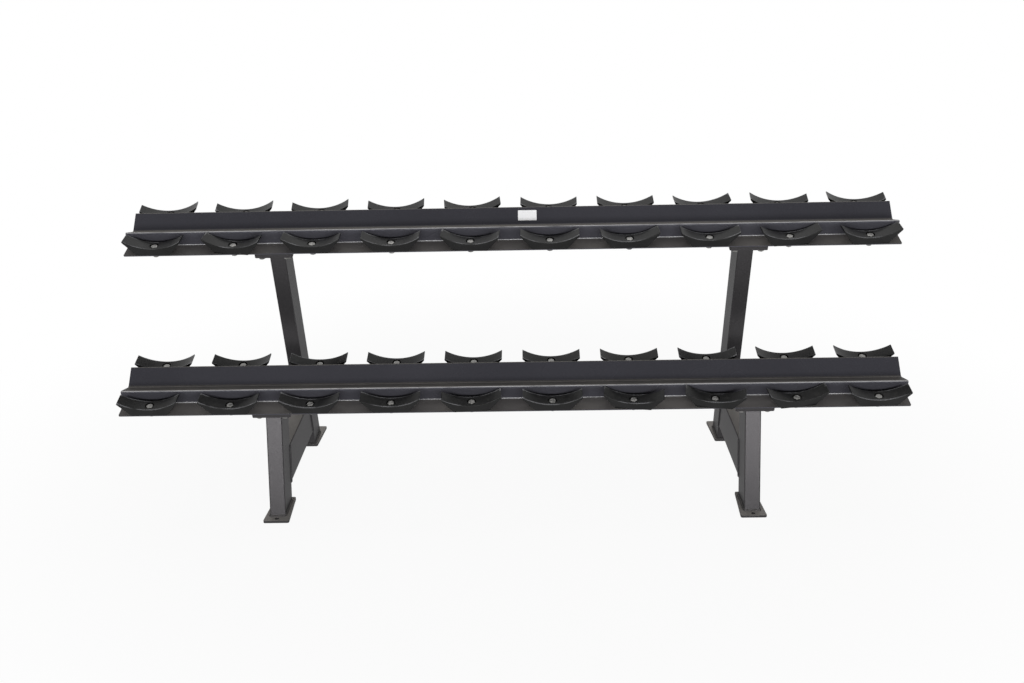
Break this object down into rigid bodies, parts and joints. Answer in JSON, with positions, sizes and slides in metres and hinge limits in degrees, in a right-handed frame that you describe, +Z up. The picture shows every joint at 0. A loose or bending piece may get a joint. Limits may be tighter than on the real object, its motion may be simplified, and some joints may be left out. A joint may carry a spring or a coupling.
{
  "type": "dumbbell rack",
  "caption": "Tiered steel dumbbell rack: tilted channel rails with round-troughed plastic saddles, on leaning tube side frames with foot plates.",
  "frame": {"origin": "on the floor, midway between the two side frames and midway between the front and rear feet", "axes": "+X along the rails to the right, +Y to the rear, +Z up"},
  "size_m": [2.444, 0.693, 0.9106],
  "materials": {
    "rail_paint": "textured satin powder coat",
    "frame_paint": "textured satin powder coat",
    "saddle_plastic": "satin moulded",
    "zinc_steel": "bright zinc plate",
    "label_white": "satin film"
  },
  "bodies": {
    "root": {"label_plate": "label_white", "left_cross_beam": "frame_paint", "left_front_foot_plate": "frame_paint", "left_front_leg": "frame_paint", "left_rear_foot_plate": "frame_paint", "left_rear_post": "frame_paint", "lower_front_saddle_01": "saddle_plastic", "lower_front_saddle_02": "saddle_plastic", "lower_front_saddle_03": "saddle_plastic", "lower_front_saddle_04": "saddle_plastic", "lower_front_saddle_05": "saddle_plastic", "lower_front_saddle_06": "saddle_plastic", "lower_front_saddle_07": "saddle_plastic", "lower_front_saddle_08": "saddle_plastic", "lower_front_saddle_09": "saddle_plastic", "lower_front_saddle_10": "saddle_plastic", "lower_rail": "rail_paint", "lower_rear_saddle_01": "saddle_plastic", "lower_rear_saddle_02": "saddle_plastic", "lower_rear_saddle_03": "saddle_plastic", "lower_rear_saddle_04": "saddle_plastic", "lower_rear_saddle_05": "saddle_plastic", "lower_rear_saddle_06": "saddle_plastic", "lower_rear_saddle_07": "saddle_plastic", "lower_rear_saddle_08": "saddle_plastic", "lower_rear_saddle_09": "saddle_plastic", "lower_rear_saddle_10": "saddle_plastic", "plate_bolts": "zinc_steel", "plate_washers": "zinc_steel", "rail_plates": "frame_paint", "right_cross_beam": "frame_paint", "right_front_foot_plate": "frame_paint", "right_front_leg": "frame_paint", "right_rear_foot_plate": "frame_paint", "right_rear_post": "frame_paint", "saddle_bolts": "zinc_steel", "saddle_nuts": "zinc_steel", "saddle_washers": "zinc_steel", "top_plates": "frame_paint", "upper_front_saddle_01": "saddle_plastic", "upper_front_saddle_02": "saddle_plastic", "upper_front_saddle_03": "saddle_plastic", "upper_front_saddle_04": "saddle_plastic", "upper_front_saddle_05": "saddle_plastic", "upper_front_saddle_06": "saddle_plastic", "upper_front_saddle_07": "saddle_plastic", "upper_front_saddle_08": "saddle_plastic", "upper_front_saddle_09": "saddle_plastic", "upper_front_saddle_10": "saddle_plastic", "upper_rail": "rail_paint", "upper_rear_saddle_01": "saddle_plastic", "upper_rear_saddle_02": "saddle_plastic", "upper_rear_saddle_03": "saddle_plastic", "upper_rear_saddle_04": "saddle_plastic", "upper_rear_saddle_05": "saddle_plastic", "upper_rear_saddle_06": "saddle_plastic", "upper_rear_saddle_07": "saddle_plastic", "upper_rear_saddle_08": "saddle_plastic", "upper_rear_saddle_09": "saddle_plastic", "upper_rear_saddle_10": "saddle_plastic"}
  },
  "joints": []
}
